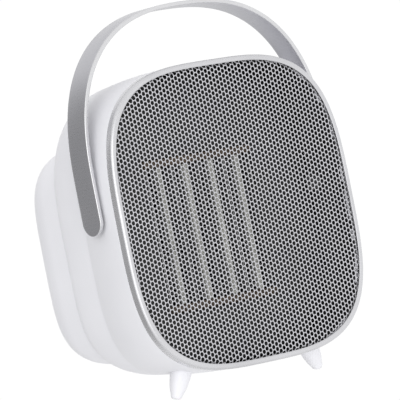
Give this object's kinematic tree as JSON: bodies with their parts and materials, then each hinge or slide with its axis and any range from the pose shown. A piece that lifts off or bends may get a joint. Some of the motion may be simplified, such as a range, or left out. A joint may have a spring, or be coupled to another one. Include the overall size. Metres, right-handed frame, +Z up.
{
  "type": "ceramic space heater",
  "caption": "Portable ceramic fan heater: rounded square perforated front leaning back on splayed feet, smaller rear housing, swinging strap handle.",
  "frame": {"origin": "middle of the whole object's bounding box, on the floor that the feet stand on", "axes": "+Z up; the perforated front faces -Y and leans back 17 degrees; +X is to the right as seen from the front; the handle turns about X"},
  "size_m": [0.2478, 0.204, 0.2926],
  "materials": {
    "white_shell": "satin moulded plastic",
    "silver_trim": "silver paint on plastic",
    "grille_steel": "light grey painted perforated steel",
    "strap_aluminium": "satin brushed grey",
    "black_plastic": "matt heat resistant plastic",
    "ptc_ceramic": "matt",
    "mica_board": "matt insulating board",
    "fin_aluminium": "thin rolled sheet",
    "zinc_steel": "zinc plated",
    "pad_rubber": "matt",
    "panel_grey": "fine texture",
    "knob_silver": "satin silver",
    "lamp_amber": "tinted clear"
  },
  "bodies": {
    "heater_body": {"front_frame": "silver_trim", "front_grille": "grille_steel", "front_shell": "white_shell", "rear_housing": "white_shell", "rear_grille": "white_shell", "duct_baffle": "black_plastic", "element_rail_top": "mica_board", "element_rail_bottom": "mica_board", "ceramic_bar_1": "ptc_ceramic", "ceramic_bar_2": "ptc_ceramic", "ceramic_bar_3": "ptc_ceramic", "ceramic_bar_4": "ptc_ceramic", "fin_pack_1": "fin_aluminium", "fin_pack_2": "fin_aluminium", "fin_pack_3": "fin_aluminium", "fin_pack_4": "fin_aluminium", "fin_pack_5": "fin_aluminium", "fin_pack_6": "fin_aluminium", "fin_pack_7": "fin_aluminium", "fin_pack_8": "fin_aluminium", "element_plate_1": "fin_aluminium", "element_plate_2": "fin_aluminium", "element_plate_3": "fin_aluminium", "element_plate_4": "fin_aluminium", "element_plate_5": "fin_aluminium", "thermal_cutout": "zinc_steel", "fan_shroud": "black_plastic", "fan_motor": "zinc_steel", "handle_bush_left": "black_plastic", "handle_bush_right": "black_plastic", "front_foot_left": "white_shell", "front_foot_right": "white_shell", "rear_foot": "white_shell", "rear_pad_left": "pad_rubber", "rear_pad_right": "pad_rubber", "control_panel": "panel_grey", "pilot_lamp": "lamp_amber", "mode_switch": "black_plastic", "thermostat": "ptc_ceramic", "tip_switch": "black_plastic", "cord_gland": "pad_rubber", "rear_screw_1": "zinc_steel", "rear_screw_2": "zinc_steel", "rear_screw_3": "zinc_steel", "rear_screw_4": "zinc_steel"},
    "handle": {"handle": "strap_aluminium", "handle_pin_left": "zinc_steel", "handle_pin_right": "zinc_steel"},
    "mode_knob": {"mode_knob": "knob_silver"},
    "thermostat_knob": {"thermostat_knob": "knob_silver"},
    "fan_rotor": {"fan_impeller": "black_plastic", "motor_shaft": "zinc_steel"},
    "tip_plunger": {"tip_plunger": "zinc_steel"}
  },
  "joints": [
    {"name": "handle_swing", "type": "hinge", "parent": "heater_body", "child": "handle", "pos_m": [0, -0.03502, 0.1392], "axis": [1, 0, 0], "range_deg": [-100, 85]},
    {"name": "mode_turn", "type": "hinge", "parent": "heater_body", "child": "mode_knob", "pos_m": [0.03, 0.08443, 0.15906], "axis": [0, -0.8829, -0.4695], "range_deg": [0, 270]},
    {"name": "thermostat_turn", "type": "hinge", "parent": "heater_body", "child": "thermostat_knob", "pos_m": [-0.03, 0.08443, 0.15906], "axis": [0, -0.8829, -0.4695], "range_deg": [0, 270]},
    {"name": "fan_spin", "type": "hinge", "parent": "heater_body", "child": "fan_rotor", "pos_m": [0, 0.0057, 0.10479], "axis": [0, -0.9563, 0.2924], "continuous": true},
    {"name": "plunger_slide", "type": "slide", "parent": "heater_body", "child": "tip_plunger", "axis": [0, -0.2924, -0.9563], "range_m": [0, 0.005], "stiffness_N_per_m": 60, "springref_m": 0.008}
  ]
}
